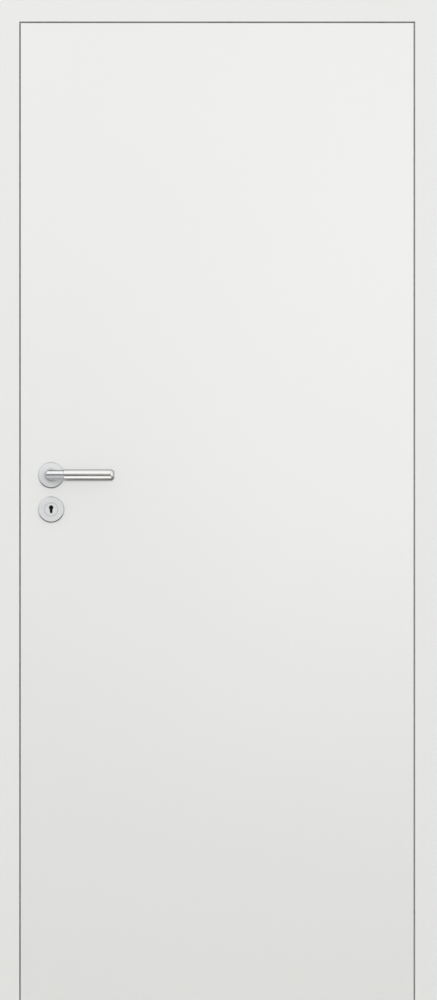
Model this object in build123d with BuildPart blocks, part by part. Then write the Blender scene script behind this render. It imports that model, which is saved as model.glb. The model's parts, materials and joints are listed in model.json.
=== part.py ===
"""Flush interior door in its frame, with concealed gooseneck hinges, a mortise lock and lever handles.

+Z is up and -Y faces the side that the leaf opens towards. The origin lies at floor level on the
outer face of the hinge jamb, halfway through the frame's depth.
"""

import os

from build123d import *

# Leaf
leaf_width = 800.0
leaf_height = 2000.0
leaf_thickness = 40.0
skin_thickness = 3.0
lipping_thickness = 8.0
leaf_arris = 0.5

# Frame, and the joints around the leaf
frame_face = 60.0
frame_depth = 100.0
frame_arris = 0.5
joint_width = 3.0
floor_gap = 6.0

# Stops and seals
stop_projection = 15.0
stop_depth = 35.0
stop_gap = 5.0
stop_arris = 1.0
seal_width = 8.0
seal_clearance = 0.3
seal_edge = 2.0

# Fixing holes through the jambs
fixing_radius = 3.5
fixing_spacing = 1200.0
fixing_height = 1000.0
fixing_back_inset = 10.0

# Gooseneck hinges
hinge_end_distance = 220.0
pin_inset = 20.0
pin_depth = 11.0
pin_radius = 4.0
pin_clearance = 0.05
eye_radius = 6.0
arm_radius = 27.5
arm_thickness = 5.0
arm_height = 60.0
arm_end_angle = 160.0
arm_clearance = 1.0
housing_wall = 2.0
housing_front_wall = 1.5
housing_end_wall = 4.0
eye_clearance = 0.5
anchor_depth = 16.0
anchor_width = 18.0
anchor_offset = 2.0
anchor_plate_thickness = 3.0
anchor_plate_width = 30.0
anchor_plate_height = 100.0

# Lock
backset = 62.0
spindle_height = 1085.5
key_drop = 70.0
lock_thickness = 15.0
lock_depth = 88.0
lock_height = 165.0
lock_above_spindle = 42.0
lock_clearance = 0.5
ward_thickness = 2.0
forend_thickness = 3.0
forend_width = 20.0
forend_height = 235.0
forend_above_spindle = 76.0
bolt_length = 32.0
bolt_thickness = 12.0
bolt_clearance = 0.3
latch_bolt_height = 22.0
latch_bolt_rise = 8.0
dead_bolt_height = 32.0
dead_bolt_rise = -6.0
follower_radius = 7.0
leaf_bore_radius = 9.0

# Strike plate
strike_thickness = 2.0
strike_width = 26.0
strike_height = 180.0
strike_window_margin = 1.5
strike_pocket_depth = 18.0

# Rosettes and keyhole
rosette_radius = 26.75
rosette_thickness = 8.0
rosette_edge = 2.4
groove_radius = 14.25
groove_width = 1.3
groove_depth = 0.8
keyhole_radius = 4.6
keyhole_rise = 4.0
keyhole_slot_width = 5.4
keyhole_slot_drop = 7.7
keyhole_clearance = 0.4

# Lever handle
neck_radius = 10.1
neck_clearance = 0.08
neck_end_gap = 0.5
collar_radius = 11.4
collar_length = 3.0
collar_gap = 0.5
lever_offset = 46.0
grip_radius = 11.3
grip_start = 25.5
grip_end = 129.0
grip_start_edge = 0.8
grip_dome = 7.0
spindle_side = 8.0
spindle_clearance = 0.05
spindle_engagement = 20.0

# Places that follow from the sizes above
front_y = -frame_depth / 2
back_y = frame_depth / 2
leaf_back_y = front_y + leaf_thickness
leaf_mid_y = front_y + leaf_thickness / 2
hinge_jamb_x = -frame_face
leaf_hinge_x = hinge_jamb_x - joint_width
leaf_latch_x = leaf_hinge_x - leaf_width
latch_jamb_x = leaf_latch_x - joint_width
frame_left_x = latch_jamb_x - frame_face
leaf_bottom = floor_gap
leaf_top = leaf_bottom + leaf_height
head_bottom = leaf_top + joint_width
frame_top = head_bottom + frame_face

stop_front_y = leaf_back_y + stop_gap
stop_underside = head_bottom - stop_projection
hinge_stop_x = hinge_jamb_x - stop_projection
latch_stop_x = latch_jamb_x + stop_projection
seal_thickness = stop_gap - seal_clearance

hinge_heights = {
    "upper": leaf_top - hinge_end_distance,
    "lower": leaf_bottom + hinge_end_distance,
}
pin_x = hinge_jamb_x - joint_width / 2 + pin_inset
pin_y = front_y + pin_depth
arm_inner = arm_radius - arm_thickness / 2
arm_outer = arm_radius + arm_thickness / 2
cavity_radius = arm_outer + arm_clearance
cavity_height = arm_height + 2 * arm_clearance
cavity_front_y = pin_y - eye_radius - eye_clearance
housing_front_y = cavity_front_y - housing_front_wall
housing_back_y = pin_y + cavity_radius + housing_wall
housing_end_x = pin_x + cavity_radius + housing_wall
housing_height = cavity_height + 2 * housing_end_wall
arm_crossing = (arm_radius**2 - (pin_x - leaf_hinge_x) ** 2) ** 0.5
anchor_y = pin_y + arm_crossing - anchor_offset
anchor_height = arm_height

handle_x = leaf_latch_x + backset
key_z = spindle_height - key_drop
forend_back_x = leaf_latch_x + forend_thickness
forend_mid_z = spindle_height + forend_above_spindle - forend_height / 2
lock_mid_z = spindle_height + lock_above_spindle - lock_height / 2
latch_bolt_z = spindle_height + latch_bolt_rise
dead_bolt_z = key_z + dead_bolt_rise
bolts = {
    "latch_bolt": (latch_bolt_z, latch_bolt_height),
    "dead_bolt": (dead_bolt_z, dead_bolt_height),
}


def block(low, high):
    """The middle and the size of the box between two opposite corners."""
    size = [b - a for a, b in zip(low, high)]
    middle = tuple((a + b) / 2 for a, b in zip(low, high))
    return middle, size


def save(part, name):
    """Label a finished piece and write it under its name."""
    part.label = name
    export_step(part, f"parts/{name}.step")


os.makedirs("parts", exist_ok=True)


def frame_member(outline, edge_axis):
    """A mitred frame member: its outline seen from the front, run through the frame's depth."""
    with BuildPart() as member:
        with BuildSketch(Plane.XZ.offset(-back_y)):
            with BuildLine():
                Polyline(*outline, close=True)
            make_face()
        extrude(amount=frame_depth)
        fillet(member.edges().filter_by(edge_axis), frame_arris)
    return member.part


def hinge_housing_box(height):
    low = (hinge_jamb_x, housing_front_y, height - housing_height / 2)
    high = (housing_end_x, housing_back_y, height + housing_height / 2)
    return block(low, high)


# Hinge jamb, with a pocket for each hinge housing
hinge_jamb_outline = [(hinge_jamb_x, 0), (0, 0), (0, frame_top), (hinge_jamb_x, head_bottom)]
hinge_jamb_blank = frame_member(hinge_jamb_outline, Axis.Z)
fixing_plane = Plane(
    origin=(0, back_y - fixing_back_inset, fixing_height),
    x_dir=(0, 1, 0),
    z_dir=(1, 0, 0),
)
with BuildPart() as hinge_jamb:
    add(hinge_jamb_blank)
    for height in hinge_heights.values():
        middle, size = hinge_housing_box(height)
        with Locations(middle):
            Box(*size, mode=Mode.SUBTRACT)
    with BuildSketch(fixing_plane):
        with GridLocations(0, fixing_spacing, 1, 2):
            Circle(fixing_radius)
    extrude(amount=-frame_face, mode=Mode.SUBTRACT)
save(hinge_jamb.part, "hinge_jamb")

# Latch jamb, with the strike plate's seat and a pocket behind each of its windows
latch_jamb_outline = [
    (latch_jamb_x, 0),
    (latch_jamb_x, head_bottom),
    (frame_left_x, frame_top),
    (frame_left_x, 0),
]
latch_jamb_blank = frame_member(latch_jamb_outline, Axis.Z)
strike_face = Plane(origin=(latch_jamb_x, leaf_mid_y, 0), x_dir=(0, 1, 0), z_dir=(1, 0, 0))
strike_seat = strike_face.offset(-strike_thickness)
window_width = bolt_thickness + 2 * strike_window_margin
with BuildPart() as latch_jamb:
    add(latch_jamb_blank)
    with BuildSketch(strike_face):
        with Locations((0, forend_mid_z)):
            SlotOverall(strike_height, strike_width, rotation=90)
    extrude(amount=-strike_thickness, mode=Mode.SUBTRACT)
    with BuildSketch(strike_seat):
        for height, bolt_height in bolts.values():
            with Locations((0, height)):
                Rectangle(window_width, bolt_height + 2 * strike_window_margin)
    extrude(amount=-strike_pocket_depth, mode=Mode.SUBTRACT)
    with BuildSketch(fixing_plane.offset(latch_jamb_x)):
        with GridLocations(0, fixing_spacing, 1, 2):
            Circle(fixing_radius)
    extrude(amount=-frame_face, mode=Mode.SUBTRACT)
save(latch_jamb.part, "latch_jamb")

# Head
head_outline = [
    (hinge_jamb_x, head_bottom),
    (0, frame_top),
    (frame_left_x, frame_top),
    (latch_jamb_x, head_bottom),
]
save(frame_member(head_outline, Axis.X), "head")


def strip(low, high, long_axis, edge):
    """A straight strip whose two long front edges are rounded."""
    middle, size = block(low, high)
    with BuildPart() as piece:
        with Locations(middle):
            Box(*size)
        fillet(piece.edges().filter_by(long_axis).group_by(Axis.Y)[0], edge)
    return piece.part


# Stops, planted on the jambs and the head behind the leaf
stop_back_y = stop_front_y + stop_depth
stop_boxes = {
    "hinge_stop": ((hinge_stop_x, 0), (hinge_jamb_x, stop_underside), Axis.Z),
    "latch_stop": ((latch_jamb_x, 0), (latch_stop_x, stop_underside), Axis.Z),
    "head_stop": ((latch_jamb_x, stop_underside), (hinge_jamb_x, head_bottom), Axis.X),
}
for name, ((x0, z0), (x1, z1), long_axis) in stop_boxes.items():
    save(strip((x0, stop_front_y, z0), (x1, stop_back_y, z1), long_axis, stop_arris), name)

# Seals, on the front of the stops
seal_front_y = stop_front_y - seal_thickness
seal_top = stop_underside + seal_width
hinge_seal_x = hinge_stop_x + seal_width
latch_seal_x = latch_stop_x - seal_width
seal_boxes = {
    "hinge_seal": ((hinge_stop_x, 0), (hinge_seal_x, seal_top), Axis.Z),
    "latch_seal": ((latch_seal_x, 0), (latch_stop_x, seal_top), Axis.Z),
    "head_seal": ((latch_stop_x, stop_underside), (hinge_stop_x, seal_top), Axis.X),
}
for name, ((x0, z0), (x1, z1), long_axis) in seal_boxes.items():
    save(strip((x0, seal_front_y, z0), (x1, stop_front_y, z1), long_axis, seal_edge), name)

# Strike plate, let into the latch jamb
with BuildPart() as strike_plate:
    with BuildSketch(strike_seat):
        with Locations((0, forend_mid_z)):
            SlotOverall(strike_height, strike_width, rotation=90)
        for height, bolt_height in bolts.values():
            with Locations((0, height)):
                Rectangle(window_width, bolt_height + 2 * strike_window_margin, mode=Mode.SUBTRACT)
    extrude(amount=strike_thickness)
save(strike_plate.part, "strike_plate")


def hinge_housing(height):
    """A box in the hinge jamb, hollow around the pin, with a slot that lets the curved arm out."""
    middle, size = hinge_housing_box(height)
    cavity_floor = Plane.XY.offset(height - cavity_height / 2)
    inner_x = hinge_jamb_x + housing_wall
    with BuildPart() as housing:
        with Locations(middle):
            Box(*size)
        with BuildSketch(cavity_floor):
            with Locations((pin_x, pin_y)):
                Circle(cavity_radius)
            with Locations((inner_x, cavity_front_y)):
                Rectangle(
                    2 * cavity_radius,
                    2 * cavity_radius,
                    align=(Align.MIN, Align.MIN),
                    mode=Mode.INTERSECT,
                )
        extrude(amount=cavity_height, mode=Mode.SUBTRACT)
        with BuildSketch(cavity_floor):
            with Locations((pin_x, pin_y)):
                Circle(cavity_radius)
                Circle(arm_inner - arm_clearance, mode=Mode.SUBTRACT)
                Rectangle(
                    2 * cavity_radius,
                    cavity_radius,
                    align=(Align.CENTER, Align.MIN),
                    mode=Mode.INTERSECT,
                )
        extrude(amount=cavity_height, mode=Mode.SUBTRACT)
    return housing.part


def hinge_pin(height):
    """The pin that the arm turns on, held between the housing's two end walls."""
    with BuildPart() as pin:
        with BuildSketch(Plane.XY.offset(height - cavity_height / 2)):
            with Locations((pin_x, pin_y)):
                Circle(pin_radius)
        extrude(amount=cavity_height)
    return pin.part


def anchor_box(height):
    low = (leaf_hinge_x - anchor_depth, anchor_y - anchor_width / 2, height - anchor_height / 2)
    high = (leaf_hinge_x, anchor_y + anchor_width / 2, height + anchor_height / 2)
    return block(low, high)


def anchor_plate_box(height):
    low = (
        leaf_hinge_x - anchor_plate_thickness,
        leaf_mid_y - anchor_plate_width / 2,
        height - anchor_plate_height / 2,
    )
    high = (leaf_hinge_x, leaf_mid_y + anchor_plate_width / 2, height + anchor_plate_height / 2)
    return block(low, high)


def hinge_arm(height):
    """An eye on the pin, a spoke, an arc about the pin, and the anchor let into the leaf's edge."""
    floor = Plane.XY.offset(height - arm_height / 2)
    middle = (pin_x, pin_y)
    anchor_middle, anchor_size = anchor_box(height)
    plate_middle, plate_size = anchor_plate_box(height)
    with BuildPart() as arm:
        with BuildSketch(floor):
            with BuildLine():
                outer = CenterArc(middle, arm_outer, 0, arm_end_angle)
                inner = CenterArc(middle, arm_inner, 0, arm_end_angle)
                Line(outer @ 0, inner @ 0)
                Line(outer @ 1, inner @ 1)
            make_face()
            with Locations(middle):
                Rectangle(arm_outer, arm_thickness, align=(Align.MIN, Align.MIN))
                Circle(eye_radius)
                Circle(pin_radius + pin_clearance, mode=Mode.SUBTRACT)
        extrude(amount=arm_height)
        with Locations(anchor_middle):
            Box(*anchor_size)
        with Locations(plate_middle):
            Box(*plate_size)
    return arm.part


for side, height in hinge_heights.items():
    save(hinge_housing(height), f"{side}_hinge_housing")
    save(hinge_pin(height), f"{side}_hinge_pin")
    save(hinge_arm(height), f"{side}_hinge_arm")


# Leaf core, hollowed for the lock, the spindle, the key and the hinge anchors
core_front_y = front_y + skin_thickness
core_back_y = leaf_back_y - skin_thickness
key_bore_z = key_z + (keyhole_rise + keyhole_radius - keyhole_slot_drop) / 2
bore_plane = Plane(origin=(handle_x, front_y, 0), x_dir=(1, 0, 0), z_dir=(0, -1, 0))
lock_pocket_middle, lock_pocket_size = block(
    (
        leaf_latch_x,
        leaf_mid_y - lock_thickness / 2 - lock_clearance,
        lock_mid_z - lock_height / 2 - lock_clearance,
    ),
    (
        forend_back_x + lock_depth + lock_clearance,
        leaf_mid_y + lock_thickness / 2 + lock_clearance,
        lock_mid_z + lock_height / 2 + lock_clearance,
    ),
)
core_middle, core_size = block(
    (leaf_latch_x + lipping_thickness, core_front_y, leaf_bottom + lipping_thickness),
    (leaf_hinge_x - lipping_thickness, core_back_y, leaf_top - lipping_thickness),
)
with BuildPart() as leaf_core:
    with Locations(core_middle):
        Box(*core_size)
    with Locations(lock_pocket_middle):
        Box(*lock_pocket_size, mode=Mode.SUBTRACT)
    for height in hinge_heights.values():
        middle, size = anchor_box(height)
        with Locations(middle):
            Box(*size, mode=Mode.SUBTRACT)
    with BuildSketch(bore_plane):
        with Locations((0, spindle_height), (0, key_bore_z)):
            Circle(leaf_bore_radius)
    extrude(amount=-leaf_thickness, mode=Mode.SUBTRACT)
save(leaf_core.part, "leaf_core")


def skin(inner_y, outer_y):
    """One face of the leaf, with a bore behind each rosette and its outer edges eased."""
    middle, size = block((leaf_latch_x, inner_y, leaf_bottom), (leaf_hinge_x, outer_y, leaf_top))
    outward = Axis((0, 0, 0), (0, outer_y - inner_y, 0))
    with BuildPart() as sheet:
        with Locations(middle):
            Box(size[0], abs(size[1]), size[2])
        fillet(sheet.faces().sort_by(outward)[-1].edges(), leaf_arris)
        with BuildSketch(bore_plane):
            with Locations((0, spindle_height), (0, key_bore_z)):
                Circle(leaf_bore_radius)
        extrude(amount=-leaf_thickness, mode=Mode.SUBTRACT)
    return sheet.part


save(skin(core_front_y, front_y), "front_skin")
save(skin(core_back_y, leaf_back_y), "back_skin")

# Lippings round the core's edges
hinge_lipping_middle, hinge_lipping_size = block(
    (leaf_hinge_x - lipping_thickness, core_front_y, leaf_bottom),
    (leaf_hinge_x, core_back_y, leaf_top),
)
with BuildPart() as hinge_edge_lipping:
    with Locations(hinge_lipping_middle):
        Box(*hinge_lipping_size)
    for height in hinge_heights.values():
        for middle, size in (anchor_box(height), anchor_plate_box(height)):
            with Locations(middle):
                Box(*size, mode=Mode.SUBTRACT)
save(hinge_edge_lipping.part, "hinge_edge_lipping")

forend_face = Plane(origin=(leaf_latch_x, leaf_mid_y, 0), x_dir=(0, -1, 0), z_dir=(-1, 0, 0))
latch_lipping_middle, latch_lipping_size = block(
    (leaf_latch_x, core_front_y, leaf_bottom),
    (leaf_latch_x + lipping_thickness, core_back_y, leaf_top),
)
with BuildPart() as latch_edge_lipping:
    with Locations(latch_lipping_middle):
        Box(*latch_lipping_size)
    with Locations(lock_pocket_middle):
        Box(*lock_pocket_size, mode=Mode.SUBTRACT)
    with BuildSketch(forend_face):
        with Locations((0, forend_mid_z)):
            SlotOverall(forend_height, forend_width, rotation=90)
    extrude(amount=-forend_thickness, mode=Mode.SUBTRACT)
save(latch_edge_lipping.part, "latch_edge_lipping")

edge_ends = (leaf_latch_x + lipping_thickness, leaf_hinge_x - lipping_thickness)
edge_heights = {
    "top_edge_lipping": (leaf_top - lipping_thickness, leaf_top),
    "bottom_edge_lipping": (leaf_bottom, leaf_bottom + lipping_thickness),
}
for name, (low_z, high_z) in edge_heights.items():
    middle, size = block((edge_ends[0], core_front_y, low_z), (edge_ends[1], core_back_y, high_z))
    with BuildPart() as edge_lipping:
        with Locations(middle):
            Box(*size)
    save(edge_lipping.part, name)

# Lock: the forend flush with the leaf's edge, the case behind it with a ward across its
# keyhole's middle, and the bolts drawn in
bolt_room = 2 * bolt_clearance
with BuildPart() as lock_forend:
    with BuildSketch(forend_face):
        with Locations((0, forend_mid_z)):
            SlotOverall(forend_height, forend_width, rotation=90)
        for height, bolt_height in bolts.values():
            with Locations((0, height)):
                Rectangle(bolt_thickness + bolt_room, bolt_height + bolt_room, mode=Mode.SUBTRACT)
    extrude(amount=-forend_thickness)
save(lock_forend.part, "lock_forend")

for name, (height, bolt_height) in bolts.items():
    with BuildPart() as bolt:
        with BuildSketch(forend_face):
            with Locations((0, height)):
                Rectangle(bolt_thickness, bolt_height)
        extrude(amount=-bolt_length)
    save(bolt.part, name)


def keyhole(grow):
    """A round key hole with a slot hanging from it, drawn about the rosette's middle."""
    slot_radius = keyhole_slot_width / 2
    slot_end = slot_radius - keyhole_slot_drop
    with BuildSketch(Plane.XY) as outline:
        with Locations((0, keyhole_rise)):
            Circle(keyhole_radius + grow)
        with Locations((0, slot_end)):
            Circle(slot_radius + grow)
            Rectangle(
                keyhole_slot_width + 2 * grow,
                keyhole_rise - slot_end,
                align=(Align.CENTER, Align.MIN),
            )
    return outline.sketch


lock_middle, lock_size = block(
    (forend_back_x, leaf_mid_y - lock_thickness / 2, lock_mid_z - lock_height / 2),
    (forend_back_x + lock_depth, leaf_mid_y + lock_thickness / 2, lock_mid_z + lock_height / 2),
)
case_keyhole = keyhole(keyhole_clearance)
with BuildPart() as lock_case:
    with Locations(lock_middle):
        Box(*lock_size)
    with BuildSketch(forend_face):
        for height, bolt_height in bolts.values():
            with Locations((0, height)):
                Rectangle(bolt_thickness + bolt_room, bolt_height + bolt_room)
    extrude(amount=-bolt_length - bolt_clearance, mode=Mode.SUBTRACT)
    with BuildSketch(bore_plane):
        with Locations((0, spindle_height)):
            Circle(follower_radius)
    extrude(amount=-leaf_thickness, mode=Mode.SUBTRACT)
    for depth in (0, (leaf_thickness + ward_thickness) / 2):
        with BuildSketch(bore_plane.offset(-depth)):
            with Locations((0, key_z)):
                add(case_keyhole)
        extrude(amount=(ward_thickness - leaf_thickness) / 2, mode=Mode.SUBTRACT)
save(lock_case.part, "lock_case")


def rosette(face_y, outward, height, opening):
    """A round cover on the leaf's face, with a fine ring groove and an opening through it."""
    seat = Plane(origin=(handle_x, face_y, height), x_dir=(-outward, 0, 0), z_dir=(0, outward, 0))
    with BuildPart() as cover:
        with BuildSketch(seat):
            Circle(rosette_radius)
        extrude(amount=rosette_thickness)
        rim = cover.edges().filter_by(GeomType.CIRCLE).sort_by(Axis((0, 0, 0), (0, outward, 0)))[-1]
        fillet(rim, rosette_edge)
        with BuildSketch(seat.offset(rosette_thickness)):
            Circle(groove_radius)
            Circle(groove_radius - groove_width, mode=Mode.SUBTRACT)
        extrude(amount=-groove_depth, mode=Mode.SUBTRACT)
        with BuildSketch(seat):
            add(opening)
        extrude(amount=rosette_thickness, mode=Mode.SUBTRACT)
    return cover.part


def lever_neck(face_y, outward):
    """A mitred tube from the rosette to the grip, with a collar and a socket for the spindle."""
    start_y = face_y + outward * neck_end_gap
    axis_y = face_y + outward * lever_offset
    collar_y = face_y + outward * (rosette_thickness + collar_gap)
    socket_end = spindle_engagement - neck_end_gap
    root = Plane(origin=(handle_x, start_y, spindle_height), x_dir=(1, 0, 0), z_dir=(0, outward, 0))
    collar_seat = Plane(origin=(handle_x, collar_y, spindle_height), z_dir=(0, outward, 0))
    socket_side = spindle_side + 2 * spindle_clearance
    with BuildPart() as neck:
        with BuildLine():
            Polyline(
                (handle_x, start_y, spindle_height),
                (handle_x, axis_y, spindle_height),
                (handle_x + grip_start, axis_y, spindle_height),
            )
        with BuildSketch(root):
            Circle(neck_radius)
        sweep(transition=Transition.RIGHT)
        with BuildSketch(collar_seat):
            Circle(collar_radius)
        extrude(amount=collar_length)
        with BuildSketch(root):
            Rectangle(socket_side, socket_side)
        extrude(amount=socket_end + spindle_clearance, mode=Mode.SUBTRACT)
    return neck.part


def lever_grip(face_y, outward):
    """The sleeve that the hand holds, with a domed free end."""
    axis_y = face_y + outward * lever_offset
    start = Plane(origin=(handle_x + grip_start, axis_y, spindle_height), z_dir=(1, 0, 0))
    with BuildPart() as grip:
        with BuildSketch(start):
            Circle(grip_radius)
        extrude(amount=grip_end - grip_start)
        rims = grip.edges().filter_by(GeomType.CIRCLE).sort_by(Axis.X)
        fillet(rims[0], grip_start_edge)
        fillet(grip.edges().filter_by(GeomType.CIRCLE).sort_by(Axis.X)[-1], grip_dome)
    return grip.part


with BuildSketch(Plane.XY) as neck_bore:
    Circle(neck_radius + neck_clearance)
key_opening = keyhole(0)
for side, face_y, outward in (("front", front_y, -1), ("back", leaf_back_y, 1)):
    save(rosette(face_y, outward, spindle_height, neck_bore.sketch), f"{side}_handle_rosette")
    save(rosette(face_y, outward, key_z, key_opening), f"{side}_key_rosette")
    save(lever_neck(face_y, outward), f"{side}_lever_neck")
    save(lever_grip(face_y, outward), f"{side}_lever_grip")

# Spindle, joining the two levers through the lock
spindle_middle, spindle_size = block(
    (handle_x - spindle_side / 2, front_y - spindle_engagement, spindle_height - spindle_side / 2),
    (handle_x + spindle_side / 2, leaf_back_y + spindle_engagement, spindle_height + spindle_side / 2),
)
with BuildPart() as spindle:
    with Locations(spindle_middle):
        Box(*spindle_size)
save(spindle.part, "spindle")
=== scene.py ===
import json
import math

import bpy
from bpy.props import FloatProperty, FloatVectorProperty, IntProperty, PointerProperty
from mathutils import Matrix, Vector


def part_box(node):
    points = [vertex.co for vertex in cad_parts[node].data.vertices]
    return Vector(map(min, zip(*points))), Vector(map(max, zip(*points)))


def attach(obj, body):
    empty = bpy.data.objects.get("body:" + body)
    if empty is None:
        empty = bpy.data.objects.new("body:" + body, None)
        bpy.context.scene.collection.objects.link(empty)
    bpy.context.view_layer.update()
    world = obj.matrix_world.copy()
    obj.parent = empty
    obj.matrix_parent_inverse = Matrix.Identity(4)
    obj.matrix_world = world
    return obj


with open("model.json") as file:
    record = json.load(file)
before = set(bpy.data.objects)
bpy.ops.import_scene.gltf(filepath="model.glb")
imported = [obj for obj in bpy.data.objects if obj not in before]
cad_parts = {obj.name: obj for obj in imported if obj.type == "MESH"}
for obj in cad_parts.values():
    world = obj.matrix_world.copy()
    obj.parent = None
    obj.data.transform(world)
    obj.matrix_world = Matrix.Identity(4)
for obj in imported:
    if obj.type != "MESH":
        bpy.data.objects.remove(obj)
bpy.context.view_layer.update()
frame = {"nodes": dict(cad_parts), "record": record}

bl_info = {
    "name": "Flush Interior Door",
    "version": (1, 0, 0),
    "blender": (4, 5, 0),
    "location": "3D View > Sidebar > Door",
    "description": "Finishes, screws and studio for a flush interior door in its frame",
    "category": "Object",
}

MILLIMETRE = 0.001
GROOVE_INNER = 12.95 * MILLIMETRE
GROOVE_OUTER = 14.25 * MILLIMETRE
EDGE_START = 24.4 * MILLIMETRE
EDGE_FADE = 0.3 * MILLIMETRE
SEAM_WIDTH = 0.6 * MILLIMETRE
DOME_LENGTH = 7.0 * MILLIMETRE
PLATE_SCREW_INSET = 12.0 * MILLIMETRE
ANCHOR_SCREW_INSET = 10.0 * MILLIMETRE
PICTURE_MIDDLE_X = -0.4603
PICTURE_MIDDLE_Z = 1.03485
FLOOR_RADIUS = 5.0
FLOOR_FADE_START = 1.8
FLOOR_SIDES = 96

FRAME_BOARDS = ("hinge_jamb", "latch_jamb", "head")
STOPS = ("hinge_stop", "latch_stop", "head_stop")
SEALS = ("hinge_seal", "latch_seal", "head_seal")
LEAF_FACES = ("front_skin", "back_skin")
LIPPINGS = ("hinge_edge_lipping", "latch_edge_lipping", "top_edge_lipping", "bottom_edge_lipping")
ROSETTES = ("front_handle_rosette", "front_key_rosette", "back_handle_rosette", "back_key_rosette")
GRIPS = ("front_lever_grip", "back_lever_grip")
NECKS = ("front_lever_neck", "back_lever_neck")
HINGE_CASTINGS = ("upper_hinge_housing", "lower_hinge_housing", "upper_hinge_arm", "lower_hinge_arm")
LOCK_PLATES = ("lock_forend", "strike_plate")
TURNED_STEEL = ("upper_hinge_pin", "lower_hinge_pin", "latch_bolt", "dead_bolt", "spindle")


class DoorFinish(bpy.types.PropertyGroup):
    """Colours and gloss of the door's surfaces."""

    leaf_white: FloatVectorProperty(
        name="Leaf white", description="Lacquer on the leaf", subtype="COLOR",
        default=(0.763, 0.763, 0.748), min=0.0, max=1.0)
    leaf_roughness: FloatProperty(
        name="Leaf roughness", description="Gloss of the leaf's lacquer", subtype="FACTOR",
        default=0.38, min=0.0, max=1.0)
    frame_white: FloatVectorProperty(
        name="Frame white", description="Lacquer on the frame and its stops", subtype="COLOR",
        default=(0.768, 0.768, 0.753), min=0.0, max=1.0)
    frame_roughness: FloatProperty(
        name="Frame roughness", description="Gloss of the frame's lacquer", subtype="FACTOR",
        default=0.55, min=0.0, max=1.0)
    board: FloatVectorProperty(
        name="Core board", description="Chip board inside the leaf", subtype="COLOR",
        default=(0.36, 0.25, 0.15), min=0.0, max=1.0)
    satin_steel: FloatVectorProperty(
        name="Satin steel", description="Rosettes, forend and strike plate", subtype="COLOR",
        default=(0.80, 0.81, 0.815), min=0.0, max=1.0)
    bright_steel: FloatVectorProperty(
        name="Bright steel", description="Grips, bolts, pins and screws", subtype="COLOR",
        default=(0.82, 0.81, 0.79), min=0.0, max=1.0)
    neck_steel: FloatVectorProperty(
        name="Neck steel", description="Polished necks of the levers", subtype="COLOR",
        default=(0.79, 0.80, 0.815), min=0.0, max=1.0)
    zinc: FloatVectorProperty(
        name="Cast zinc", description="Hinge castings and lock case", subtype="COLOR",
        default=(0.66, 0.66, 0.65), min=0.0, max=1.0)
    rubber: FloatVectorProperty(
        name="Seal rubber", description="Seals behind the leaf", subtype="COLOR",
        default=(0.58, 0.58, 0.57), min=0.0, max=1.0)


class DoorScrews(bpy.types.PropertyGroup):
    """Sizes of the screws that hold the door's fittings."""

    head_radius: FloatProperty(
        name="Head radius", description="Radius of a plate screw's head", subtype="DISTANCE",
        default=3.9 * MILLIMETRE, min=0.0)
    head_height: FloatProperty(
        name="Head height", description="How far a screw's head stands proud", subtype="DISTANCE",
        default=0.5 * MILLIMETRE, min=0.0)
    frame_head_radius: FloatProperty(
        name="Frame screw radius", description="Radius of a wall fixing's head", subtype="DISTANCE",
        default=5.2 * MILLIMETRE, min=0.0)
    sides: IntProperty(
        name="Sides", description="Sides of a round head", default=40, min=8, max=128)


class DoorStage(bpy.types.PropertyGroup):
    """Camera, floor and light of the studio."""

    camera_distance: FloatProperty(
        name="Camera distance", description="From the lens to the leaf's face", subtype="DISTANCE",
        default=24.0, min=1.0)
    view_height: FloatProperty(
        name="View height", description="Height of the leaf's face that the picture takes in",
        subtype="DISTANCE", default=2.0363, min=0.1)
    pale: FloatVectorProperty(
        name="Backdrop", description="Colour behind the door", subtype="COLOR",
        default=(0.86, 0.86, 0.86), min=0.0, max=1.0)
    floor: FloatVectorProperty(
        name="Floor", description="Colour of the floor", subtype="COLOR",
        default=(0.62, 0.62, 0.61), min=0.0, max=1.0)
    ambient: FloatProperty(
        name="Ambient", description="Strength of the even light from all round",
        default=0.60, min=0.0, max=2.0)
    front_power: FloatProperty(
        name="Front lamp", description="Lamp in front, a little above the lever", subtype="POWER",
        default=479.0, min=0.0)
    front_fill: FloatProperty(
        name="Front fill", description="Share of the front lamp's light that the levers don't shade",
        subtype="FACTOR", default=0.6, min=0.0, max=1.0)
    top_power: FloatProperty(
        name="Top lamp", description="Wide lamp above the front", subtype="POWER",
        default=2.0, min=0.0)
    rear_power: FloatProperty(
        name="Rear lamp", description="Lamp behind the door", subtype="POWER",
        default=500.0, min=0.0)


class Term:
    """A socket of a node tree; arithmetic on it adds Math nodes."""

    def __init__(self, tree, socket):
        self.tree = tree
        self.socket = socket

    def math(self, operation, *values):
        return self.tree.node("ShaderNodeMath", {"operation": operation}, dict(enumerate(values)))[0]

    def __add__(self, other):
        return self.math("ADD", self, other)

    __radd__ = __add__

    def __rsub__(self, other):
        return self.math("SUBTRACT", other, self)

    def __mul__(self, other):
        return self.math("MULTIPLY", self, other)

    __rmul__ = __mul__

    def __gt__(self, other):
        return self.math("GREATER_THAN", self, other)

    def __lt__(self, other):
        return self.math("LESS_THAN", self, other)

    def root(self):
        return self.math("SQRT", self)

    def larger(self, other):
        return self.math("MAXIMUM", self, other)


class Outputs:
    """A node's outputs, found by number or by name."""

    def __init__(self, tree, node):
        self.tree = tree
        self.sockets = node.outputs

    def __getitem__(self, key):
        return Term(self.tree, self.sockets[key])

    def __iter__(self):
        return (Term(self.tree, socket) for socket in self.sockets)


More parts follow.
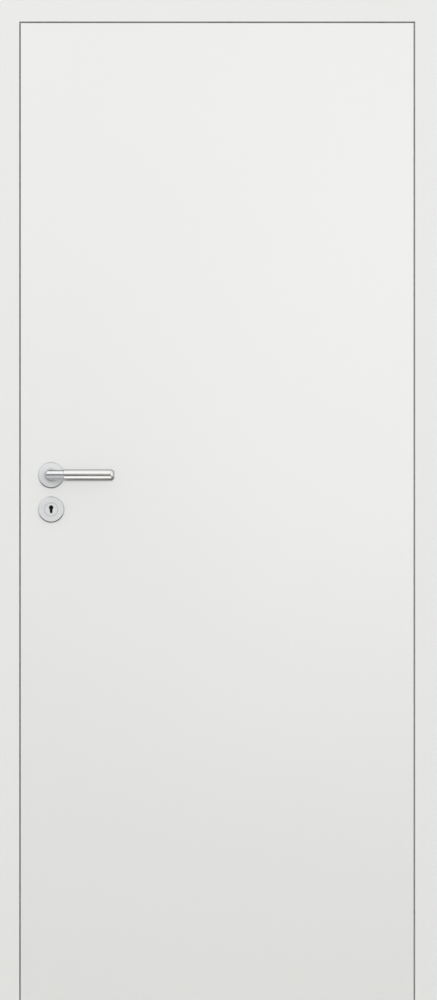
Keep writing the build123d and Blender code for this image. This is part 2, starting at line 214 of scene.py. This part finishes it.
class NodeTree:
    """The nodes of a material, the world or a group, added one at a time."""

    def __init__(self, tree):
        self.tree = tree
        tree.nodes.clear()

    def node(self, kind, settings=None, inputs=None):
        """Add a node: its settings first, then the values or links of its sockets. Gives its outputs.

        A list holds several links into one socket.
        """
        made = self.tree.nodes.new(kind)
        for key, value in (settings or {}).items():
            setattr(made, key, value)
        for key, value in (inputs or {}).items():
            terms = [value] if isinstance(value, Term) else value
            if isinstance(terms, list):
                for term in terms:
                    self.tree.links.new(term.socket, made.inputs[key])
            else:
                made.inputs[key].default_value = value
        return Outputs(self, made)


class Finish(NodeTree):
    """A procedural material on Object coordinates."""

    def __init__(self, name):
        self.material = bpy.data.materials.new(name)
        self.material.use_nodes = True
        super().__init__(self.material.node_tree)

    def place(self, centre=(0.0, 0.0, 0.0), stretch=(1.0, 1.0, 1.0)):
        """Object coordinates about a centre, stretched along the axes."""
        coordinates = self.node("ShaderNodeTexCoord")["Object"]
        shift = tuple(-c * s for c, s in zip(centre, stretch))
        inputs = {"Vector": coordinates, "Location": shift, "Scale": stretch}
        return self.node("ShaderNodeMapping", None, inputs)[0]

    def axes(self, vector):
        return self.node("ShaderNodeSeparateXYZ", None, {0: vector})

    def noise(self, vector, scale, detail=2.0, roughness=0.5):
        inputs = {"Vector": vector, "Scale": scale, "Detail": detail, "Roughness": roughness}
        return self.node("ShaderNodeTexNoise", None, inputs)[0]

    def mix(self, factor, first, second):
        """A colour between two others."""
        inputs = {0: factor, 6: first, 7: second}
        return self.node("ShaderNodeMix", {"data_type": "RGBA"}, inputs)[2]

    def bump(self, height, strength, distance):
        inputs = {"Height": height, "Strength": strength, "Distance": distance}
        return self.node("ShaderNodeBump", None, inputs)[0]

    def surface(self, **sockets):
        """Finish the material with one Principled surface."""
        inputs = {key.replace("_", " "): value for key, value in sockets.items()}
        shader = self.node("ShaderNodeBsdfPrincipled", None, inputs)[0]
        self.node("ShaderNodeOutputMaterial", None, {"Surface": shader})
        return self.material


def scaled(colour, factor):
    return tuple(c * factor for c in colour)


def opaque(colour, factor=1.0):
    return scaled(colour, factor) + (1.0,)


def dress(nodes, material):
    """Give CAD nodes a material in all their slots."""
    for name in nodes:
        mesh = frame["nodes"][name].data
        mesh.materials.clear()
        mesh.materials.append(material)


def node_centre(name):
    low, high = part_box(name)
    return (low + high) / 2


def leaf_faces():
    """The depth of each face of the leaf, and the way that it looks along Y."""
    return {"front": (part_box("front_skin")[0].y, -1), "rear": (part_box("back_skin")[1].y, 1)}


def lacquer(name, colour, roughness, coat):
    """Sprayed white lacquer with a fine orange peel."""
    finish = Finish(name)
    place = finish.place()
    peel = finish.noise(place, 420.0, 2.0)
    dust = finish.noise(place, 2600.0, 1.0)
    drift = finish.noise(place, 2.3, 3.0)
    height = peel * 0.8 + dust * 0.2
    return finish.surface(
        Base_Color=finish.mix(drift, opaque(colour, 0.992), opaque(colour, 1.008)),
        Roughness=roughness - 0.03 + 0.06 * drift, Normal=finish.bump(height, 0.10, 0.00012),
        Coat_Weight=coat, Coat_Roughness=0.36)


class DOOR_OT_lacquer(bpy.types.Operator):
    """Lacquer the leaf, its edges, the frame and its stops"""

    bl_idname = "door.lacquer"
    bl_label = "Lacquer"

    def execute(self, context):
        colours = context.scene.door_finish
        leaf = lacquer("leaf_lacquer", colours.leaf_white, colours.leaf_roughness, 1.0)
        edge = lacquer("edge_lacquer", scaled(colours.leaf_white, 0.97), 0.45, 0.0)
        frame_coat = lacquer("frame_lacquer", colours.frame_white, colours.frame_roughness, 0.0)
        dress(LEAF_FACES, leaf)
        dress(LIPPINGS, edge)
        dress(FRAME_BOARDS + STOPS, frame_coat)
        dress(("leaf_core",), self.chip_board(colours.board))
        return {"FINISHED"}

    @staticmethod
    def chip_board(colour):
        finish = Finish("chip_board")
        inputs = {"Vector": finish.place(stretch=(1.0, 1.6, 1.0)), "Scale": 320.0}
        chips = finish.node("ShaderNodeTexVoronoi", None, inputs)[0]
        tone = finish.mix(chips, opaque(colour, 0.7), opaque(colour, 1.6))
        return finish.surface(Base_Color=tone, Roughness=0.9, Normal=finish.bump(chips, 0.3, 0.0005))


class DOOR_OT_seals(bpy.types.Operator):
    """Give the seals behind the leaf their rubber"""

    bl_idname = "door.seals"
    bl_label = "Seals"

    def execute(self, context):
        colour = context.scene.door_finish.rubber
        finish = Finish("seal_rubber")
        grain = finish.noise(finish.place(), 1500.0, 2.0)
        tone = finish.mix(grain, opaque(colour, 0.9), opaque(colour, 1.12))
        material = finish.surface(
            Base_Color=tone, Roughness=0.62 + 0.12 * grain, Normal=finish.bump(grain, 0.15, 0.0002))
        dress(SEALS, material)
        return {"FINISHED"}


def brushed_round(name, node, colour):
    """Satin steel turned about a rosette's middle: rings of scratches, a groove darkened with painted
    shade, a smooth edge that also carries painted shade.
    """
    finish = Finish(name)
    x, _, z = finish.axes(finish.place(centre=node_centre(node)))
    radius = (x * x + z * z).root()
    ring = finish.node("ShaderNodeCombineXYZ", None, {0: radius, 1: 0.0, 2: 0.0})[0]
    scratches = finish.noise(ring, 5200.0, 3.0, 0.7)
    cloud = finish.noise(finish.place(), 90.0, 2.0)
    tone = finish.mix(scratches * 0.6 + cloud * 0.4, opaque(colour, 0.94), opaque(colour, 1.05))
    # Ring mask of the groove; its colour is darkened below as painted shade.
    groove = (radius > GROOVE_INNER) * (radius < GROOVE_OUTER)
    inputs = {"Value": radius, "From Min": EDGE_START, "From Max": EDGE_START + EDGE_FADE}
    edge = finish.node("ShaderNodeMapRange", None, inputs)[0]
    return finish.surface(
        # Base Color mixes the groove and the rim toward a dark grey: painted shade in the groove and along
        # the rim. The rim's Metallic and Roughness are its polish.
        Base_Color=finish.mix(groove * 0.4 + edge * 0.3, tone, opaque(colour, 0.3)),
        Metallic=0.7 + 0.3 * edge, Roughness=(0.47 + 0.10 * scratches) * (1.0 - 0.45 * edge),
        Normal=finish.bump(scratches, 0.06, 0.00005))


def plate_steel(name, colour):
    """Satin steel brushed up and down a plate."""
    finish = Finish(name)
    scratches = finish.noise(finish.place(stretch=(60.0, 60.0, 0.6)), 40.0, 3.0, 0.65)
    cloud = finish.noise(finish.place(), 120.0, 2.0)
    tone = finish.mix(scratches * 0.5 + cloud * 0.5, opaque(colour, 0.95), opaque(colour, 1.04))
    return finish.surface(
        Base_Color=tone, Metallic=1.0, Roughness=0.31 + 0.08 * scratches,
        Normal=finish.bump(scratches, 0.05, 0.00004))


def sleeve_steel(name, node, colour):
    """Bright steel ground along the grip, with a dark seam at each end of its straight sleeve."""
    finish = Finish(name)
    low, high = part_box(node)
    start, cap = low.x + SEAM_WIDTH, high.x - DOME_LENGTH
    along = finish.axes(finish.place())[0]
    seams = (along < start).larger((along > cap) * (along < cap + SEAM_WIDTH))
    scratches = finish.noise(finish.place(stretch=(0.05, 60.0, 60.0)), 40.0, 3.0, 0.65)
    cloud = finish.noise(finish.place(), 120.0, 2.0)
    tone = finish.mix(scratches * 0.7 + cloud * 0.3, opaque(colour, 0.96), opaque(colour, 1.03))
    return finish.surface(
        Base_Color=finish.mix(seams * 0.7, tone, opaque(colour, 0.2)), Metallic=1.0,
        Roughness=0.13 + 0.08 * scratches, Normal=finish.bump(scratches, 0.04, 0.00004))


def polished(name, colour, roughness):
    """Bright steel with faint handling marks."""
    finish = Finish(name)
    marks = finish.noise(finish.place(), 160.0, 4.0, 0.6)
    tone = finish.mix(marks, opaque(colour, 0.97), opaque(colour, 1.02))
    return finish.surface(Base_Color=tone, Metallic=1.0, Roughness=roughness + 0.05 * marks)


def cast(name, colour, metallic):
    """Die-cast zinc, bare or under a grey coat, slightly pebbled; the near-black colour given for the lock
    case is painted shade.
    """
    finish = Finish(name)
    pebble = finish.noise(finish.place(), 700.0, 3.0)
    cloud = finish.noise(finish.place(), 60.0, 2.0)
    tone = finish.mix(cloud, opaque(colour, 0.9), opaque(colour, 1.1))
    return finish.surface(
        Base_Color=tone, Metallic=metallic, Roughness=0.38 + 0.12 * pebble,
        Normal=finish.bump(pebble, 0.12, 0.00015))


class DOOR_OT_lever_set(bpy.types.Operator):
    """Finish the rosettes and the levers"""

    bl_idname = "door.lever_set"
    bl_label = "Lever set"

    def execute(self, context):
        colours = context.scene.door_finish
        for node in ROSETTES:
            dress((node,), brushed_round(f"{node}_steel", node, colours.satin_steel))
        dress(GRIPS, sleeve_steel("grip_steel", GRIPS[0], colours.bright_steel))
        dress(NECKS, polished("neck_steel", colours.neck_steel, 0.12))
        return {"FINISHED"}


class DOOR_OT_lock(bpy.types.Operator):
    """Finish the lock, the strike plate, the bolts, the spindle and the hinge pins"""

    bl_idname = "door.lock"
    bl_label = "Lock"

    def execute(self, context):
        colours = context.scene.door_finish
        dress(LOCK_PLATES, plate_steel("plate_steel", colours.satin_steel))
        dress(TURNED_STEEL, polished("turned_steel", colours.bright_steel, 0.22))
        # The lock case is nearly black: painted shade that shows as the dark inside of the keyhole.
        dress(("lock_case",), cast("lock_zinc", scaled(colours.zinc, 0.08), 1.0))
        return {"FINISHED"}


class DOOR_OT_hinges(bpy.types.Operator):
    """Finish the hinge housings and arms"""

    bl_idname = "door.hinges"
    bl_label = "Hinges"

    def execute(self, context):
        dress(HINGE_CASTINGS, cast("hinge_zinc", context.scene.door_finish.zinc, 0.1))
        return {"FINISHED"}


def screw_tree():
    """A cross-recess screw head on every point, turned along the point's own direction."""
    group = bpy.data.node_groups.new("screw_heads", "GeometryNodeTree")
    sockets = {
        "Geometry": "NodeSocketGeometry",
        "Head radius": "NodeSocketFloat",
        "Head height": "NodeSocketFloat",
        "Sides": "NodeSocketInt",
        "Material": "NodeSocketMaterial",
    }
    for name, kind in sockets.items():
        group.interface.new_socket(name, in_out="INPUT", socket_type=kind)
    group.interface.new_socket("Geometry", in_out="OUTPUT", socket_type="NodeSocketGeometry")
    tree = NodeTree(group)
    given = tree.node("NodeGroupInput")
    radius, height = given["Head radius"], given["Head height"]

    def slab(length, width):
        size = tree.node("ShaderNodeCombineXYZ", None, {0: length, 1: width, 2: height * 1.5})[0]
        cube = tree.node("GeometryNodeMeshCube", None, {"Size": size})[0]
        rise = tree.node("ShaderNodeCombineXYZ", None, {2: height})[0]
        return tree.node("GeometryNodeTransform", None, {"Geometry": cube, "Translation": rise})[0]

    head = tree.node("GeometryNodeMeshCone", None, {
        "Vertices": given["Sides"],
        "Radius Top": radius * 0.88,
        "Radius Bottom": radius,
        "Depth": height,
    })[0]
    long_side, short_side = radius * 1.05, radius * 0.26
    cross = [slab(long_side, short_side), slab(short_side, long_side)]
    inputs = {"Mesh 1": head, "Mesh 2": cross}
    recessed = tree.node("GeometryNodeMeshBoolean", {"operation": "DIFFERENCE"}, inputs)[0]
    settings = {"data_type": "FLOAT_VECTOR"}
    direction = tree.node("GeometryNodeInputNamedAttribute", settings, {"Name": "direction"})[0]
    turn = tree.node("FunctionNodeAlignRotationToVector", {"axis": "Z"}, {"Vector": direction})[0]
    inputs = {"Points": given["Geometry"], "Instance": recessed, "Rotation": turn}
    placed = tree.node("GeometryNodeInstanceOnPoints", None, inputs)[0]
    real = tree.node("GeometryNodeRealizeInstances", None, {0: placed})[0]
    inputs = {"Geometry": real, "Material": given["Material"]}
    clad = tree.node("GeometryNodeSetMaterial", None, inputs)[0]
    tree.node("NodeGroupOutput", None, {0: clad})
    return group


def screw_heads(name, body, places, radius, tree, material):
    """One mesh of screw heads: places are pairs of a point and the way that the head faces."""
    screws = bpy.context.scene.door_screws
    points = bpy.data.meshes.new(f"{name}_places")
    points.from_pydata([point for point, _ in places], [], [])
    directions = points.attributes.new("direction", "FLOAT_VECTOR", "POINT")
    for item, (_, direction) in zip(directions.data, places):
        item.vector = direction
    piece = bpy.data.objects.new(name, points)
    bpy.context.scene.collection.objects.link(piece)
    modifier = piece.modifiers.new("heads", "NODES")
    modifier.node_group = tree
    values = {
        "Head radius": radius,
        "Head height": screws.head_height,
        "Sides": screws.sides,
        "Material": material,
    }
    for item in tree.interface.items_tree:
        if item.in_out == "INPUT" and item.name in values:
            modifier[item.identifier] = values[item.name]
    evaluated = piece.evaluated_get(bpy.context.evaluated_depsgraph_get())
    mesh = bpy.data.meshes.new_from_object(evaluated)
    piece.modifiers.remove(modifier)
    piece.data = mesh
    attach(piece, body)


class DOOR_OT_screws(bpy.types.Operator):
    """Screw the lock, the strike plate, the hinge plates and the frame in place"""

    bl_idname = "door.screws"
    bl_label = "Screws"

    def execute(self, context):
        screws = context.scene.door_screws
        tree = screw_tree()
        steel = polished("screw_steel", scaled(context.scene.door_finish.bright_steel, 0.8), 0.3)
        leaf_places = self.forend_places() + self.anchor_places()
        strike_places = self.strike_places()
        fixing_places = self.fixing_places()
        screw_heads("leaf_screws", "leaf", leaf_places, screws.head_radius, tree, steel)
        screw_heads("strike_screws", "frame", strike_places, screws.head_radius, tree, steel)
        screw_heads("wall_screws", "frame", fixing_places, screws.frame_head_radius, tree, steel)
        return {"FINISHED"}

    @staticmethod
    def plate_places(node, face_x, way):
        """One screw near each end of an upright plate."""
        low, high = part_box(node)
        middle_y = (low.y + high.y) / 2
        heights = (low.z + PLATE_SCREW_INSET, high.z - PLATE_SCREW_INSET)
        return [((face_x, middle_y, z), (way, 0, 0)) for z in heights]

    def forend_places(self):
        return self.plate_places("lock_forend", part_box("lock_forend")[0].x, -1)

    def strike_places(self):
        return self.plate_places("strike_plate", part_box("strike_plate")[1].x, 1)

    @staticmethod
    def anchor_places():
        """Two screws in the plate at the root of each hinge arm."""
        places = []
        leaf_low, leaf_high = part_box("front_skin")
        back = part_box("back_skin")[1].y
        for node in ("upper_hinge_arm", "lower_hinge_arm"):
            low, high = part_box(node)
            for z in (low.z + ANCHOR_SCREW_INSET, high.z - ANCHOR_SCREW_INSET):
                places.append(((leaf_high.x, (leaf_low.y + back) / 2, z), (1, 0, 0)))
        return places

    @staticmethod
    def fixing_places():
        """A wall fixing in each hole of the jambs, on the doorway's side."""
        places = []
        faces = {"hinge_jamb_fixings": ("hinge_jamb", 0, -1), "latch_jamb_fixings": ("latch_jamb", 1, 1)}
        for mount in frame["record"]["mounts"]:
            if mount["name"] not in faces:
                continue
            node, corner, way = faces[mount["name"]]
            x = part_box(node)[corner].x
            _, y, z = mount["pos_m"]
            half = mount["dims"]["spacing_y_mm"] * MILLIMETRE / 2
            places += [((x, y, z - half), (way, 0, 0)), ((x, y, z + half), (way, 0, 0))]
        return places


class DOOR_OT_stage(bpy.types.Operator):
    """Set the floor, the lamps, the world and the camera"""

    bl_idname = "door.stage"
    bl_label = "Studio"

    def execute(self, context):
        scene = context.scene
        scene.view_settings.view_transform = "Standard"
        self.middle = Vector((PICTURE_MIDDLE_X, leaf_faces()["front"][0], PICTURE_MIDDLE_Z))
        self.floor(scene)
        self.world(scene)
        self.cards(scene)
        self.lamps(scene)
        self.camera(scene)
        return {"FINISHED"}

    def floor(self, scene):
        """A pale round floor that fades out before it comes near the lamps."""
        mesh = bpy.data.meshes.new("floor")
        angles = [math.tau * i / FLOOR_SIDES for i in range(FLOOR_SIDES)]
        corners = [
            (self.middle.x + FLOOR_RADIUS * math.cos(a), FLOOR_RADIUS * math.sin(a), 0.0)
            for a in angles
        ]
        mesh.from_pydata(corners, [], [list(range(FLOOR_SIDES))])
        plane = bpy.data.objects.new("floor", mesh)
        scene.collection.objects.link(plane)
        finish = Finish("floor")
        x, y, _ = finish.axes(finish.place(centre=(self.middle.x, 0.0, 0.0)))
        distance = (x * x + y * y).root()
        inputs = {"Value": distance, "From Min": FLOOR_FADE_START, "From Max": FLOOR_RADIUS}
        fade = finish.node("ShaderNodeMapRange", {"interpolation_type": "SMOOTHSTEP"}, inputs)[0]
        stage = scene.door_stage
        solid = finish.node("ShaderNodeBsdfDiffuse", None, {"Color": opaque(stage.floor)})[0]
        pale = finish.node("ShaderNodeEmission", None, {"Color": opaque(stage.pale)})[0]
        inputs = {0: self.seen(finish) * 0.5, 1: solid, 2: pale}
        lightened = finish.node("ShaderNodeMixShader", None, inputs)[0]
        clear = finish.node("ShaderNodeBsdfTransparent")[0]
        mixed = finish.node("ShaderNodeMixShader", None, {0: fade, 1: lightened, 2: clear})[0]
        finish.node("ShaderNodeOutputMaterial", None, {"Surface": mixed})
        mesh.materials.append(finish.material)

    @staticmethod
    def seen(tree):
        """Whether the eye sees a place, straight or in a reflection."""
        rays = tree.node("ShaderNodeLightPath")
        return rays["Is Camera Ray"].larger(rays["Is Glossy Ray"]).larger(rays["Is Transmission Ray"])

    def world(self, scene):
        """One pale colour to the eye and in reflections, and an even light from all round."""
        stage = scene.door_stage
        scene.world = bpy.data.worlds.new("studio")
        scene.world.use_nodes = True
        tree = NodeTree(scene.world.node_tree)
        pale = tree.node("ShaderNodeBackground", None, {"Color": opaque(stage.pale)})[0]
        even = tree.node("ShaderNodeBackground", None, {"Strength": stage.ambient})[0]
        mixed = tree.node("ShaderNodeMixShader", None, {0: self.seen(tree), 1: even, 2: pale})[0]
        tree.node("ShaderNodeOutputWorld", None, {"Surface": mixed})

    def cards(self, scene):
        """Studio cards that only reflections see, the same before and behind the door.

        Each has its range across, off the leaf's face and upright, and its brightness. The flags stand just
        off the leaf, with clear backs, and darken the outlines of the levers.
        """
        dark, bright = 0.06, 1.95
        width = (-2.20, 1.20)
        cards = {
            "dark_card": ((-1.02, -0.58), (2.05, 2.05), (0.33, 1.84), 0.14),
            "low_card": (width, (2.60, 2.60), (0.0, 0.62), 0.03),
            "side_card": ((-0.52, 0.45), (2.30, 2.30), (0.62, 2.35), bright),
            "upper_card": ((-2.80, -1.10), (2.30, 2.30), (1.50, 2.90), bright),
            "floor_card": (width, (0.05, 3.20), (0.003, 0.003), dark),
        }
        flags = {
            "grip_flag": ((-0.773, -0.50), (0.001, 0.001), (0.65, 1.165), 0.22),
            "neck_flag": ((-0.86, -0.773), (0.001, 0.001), (1.122, 1.22), 0.16),
        }
        for side, (face, way) in leaf_faces().items():
            for name, (across, gaps, upright, brightness) in (cards | flags).items():
                ranges = (across, [face + way * gap for gap in gaps], upright)
                corners = self.corners(ranges)
                if way > 0:
                    corners.reverse()
                self.card(scene, f"{side}_{name}", corners, brightness, name in flags)

    @staticmethod
    def corners(ranges):
        """The corners of a flat card from its range along each axis, one of which has no length."""
        flat = [low == high for low, high in ranges].index(True)
        first, second = (axis for axis in range(3) if axis != flat)
        places = []
        for i, j in ((0, 0), (1, 0), (1, 1), (0, 1)):
            corner = [low for low, _ in ranges]
            corner[first] = ranges[first][i]
            corner[second] = ranges[second][j]
            places.append(corner)
        return places

    @staticmethod
    def card(scene, name, corners, brightness, clear_back):
        mesh = bpy.data.meshes.new(name)
        mesh.from_pydata(corners, [], [(0, 1, 2, 3)])
        finish = Finish(name)
        glow = finish.node("ShaderNodeEmission", None, {"Strength": brightness})[0]
        if clear_back:
            behind = finish.node("ShaderNodeNewGeometry")["Backfacing"]
            clear = finish.node("ShaderNodeBsdfTransparent")[0]
            glow = finish.node("ShaderNodeMixShader", None, {0: behind, 1: glow, 2: clear})[0]
        finish.node("ShaderNodeOutputMaterial", None, {"Surface": glow})
        mesh.materials.append(finish.material)
        sheet = bpy.data.objects.new(name, mesh)
        scene.collection.objects.link(sheet)
        sheet.visible_camera = False
        sheet.visible_diffuse = False
        sheet.visible_shadow = False
        sheet.visible_transmission = False

    def lamps(self, scene):
        """Soft boxes: two in one place in front, one above, one behind, and some for the levers alone."""
        stage = scene.door_stage
        target = Vector((self.middle.x, 0.0, 1.1))
        front = ((-0.45, -9.3, 1.62), target, (0.55, 0.55))
        self.lamp(scene, "front", *front, stage.front_power * (1.0 - stage.front_fill))
        fill = self.lamp(scene, "front_fill", *front, stage.front_power * stage.front_fill)
        fill.light_linking.blocker_collection = self.linked("unshading", GRIPS + NECKS, "EXCLUDE")
        self.lamp(scene, "top", (-0.40, -1.75, 3.5), target, (2.4, 1.2), stage.top_power)
        self.lamp(scene, "rear", (-0.45, 11.0, 2.2), target, (1.2, 1.2), stage.rear_power)
        grips = self.linked("lit_grips", GRIPS, "INCLUDE")
        necks = self.linked("lit_necks", NECKS, "INCLUDE")
        levers = self.linked("lit_levers", GRIPS + NECKS, "INCLUDE")
        boxes = {
            "below_grip": ((-0.69, 0.535, 0.72), (0.41, 0.73), (0, 0, 1), 1.12, grips),
            "below_neck": ((-0.87, 1.025, 0.72), (0.35, 1.85), (0, 0, 1), 0.57, necks),
            "above": ((-0.60, 1.17, 2.75), (1.7, 2.05), (0, 0, -1), 0.3, levers),
        }
        for side, (face, way) in leaf_faces().items():
            for name, ((x, gap, z), size, aim, brightness, receivers) in boxes.items():
                place = Vector((x, face + way * gap, z))
                power = brightness * math.pi * size[0] * size[1]
                holder = self.lamp(scene, f"{side}_{name}", place, place + Vector(aim), size, power)
                holder.visible_glossy = True
                holder.light_linking.receiver_collection = receivers

    @staticmethod
    def linked(name, nodes, state):
        """A collection of CAD nodes that a lamp's light or shade is linked to, or is kept off."""
        group = bpy.data.collections.new(name)
        for node in nodes:
            group.objects.link(frame["nodes"][node])
        for item in group.collection_objects:
            item.light_linking.link_state = state
        return group

    @staticmethod
    def lamp(scene, name, place, target, size, power):
        """A rectangular lamp that the camera and reflections don't see."""
        data = bpy.data.lights.new(name, "AREA")
        data.shape = "RECTANGLE"
        data.size, data.size_y = size
        data.energy = power
        holder = bpy.data.objects.new(name, data)
        holder.location = place
        holder.rotation_euler = (target - holder.location).to_track_quat("-Z", "Y").to_euler()
        holder.visible_camera = False
        holder.visible_glossy = False
        scene.collection.objects.link(holder)
        return holder

    def camera(self, scene):
        stage = scene.door_stage
        data = bpy.data.cameras.new("camera")
        data.lens = data.sensor_width * stage.camera_distance / stage.view_height
        data.clip_end = 100.0
        holder = bpy.data.objects.new("camera", data)
        holder.location = self.middle - Vector((0.0, stage.camera_distance, 0.0))
        holder.rotation_euler = (math.radians(90.0), 0.0, 0.0)
        scene.collection.objects.link(holder)
        scene.camera = holder


OPERATORS = (
    DOOR_OT_lacquer,
    DOOR_OT_seals,
    DOOR_OT_lever_set,
    DOOR_OT_lock,
    DOOR_OT_hinges,
    DOOR_OT_screws,
    DOOR_OT_stage,
)


class DOOR_PT_sidebar(bpy.types.Panel):
    """Lists the door's operators in the 3D view's sidebar"""

    bl_idname = "DOOR_PT_sidebar"
    bl_label = "Flush door"
    bl_space_type = "VIEW_3D"
    bl_region_type = "UI"
    bl_category = "Door"

    def draw(self, context):
        for operator in OPERATORS:
            self.layout.operator(operator.bl_idname)


GROUPS = {"door_finish": DoorFinish, "door_screws": DoorScrews, "door_stage": DoorStage}
CLASSES = (*GROUPS.values(), *OPERATORS, DOOR_PT_sidebar)


def register():
    for cls in CLASSES:
        bpy.utils.register_class(cls)
    for name, group in GROUPS.items():
        setattr(bpy.types.Scene, name, PointerProperty(type=group))


def unregister():
    for name in GROUPS:
        delattr(bpy.types.Scene, name)
    for cls in reversed(CLASSES):
        bpy.utils.unregister_class(cls)


def main():
    register()
    bpy.ops.door.lacquer()
    bpy.ops.door.seals()
    bpy.ops.door.lever_set()
    bpy.ops.door.lock()
    bpy.ops.door.hinges()
    bpy.ops.door.screws()
    bpy.ops.door.stage()


if __name__ == "__main__":
    main()
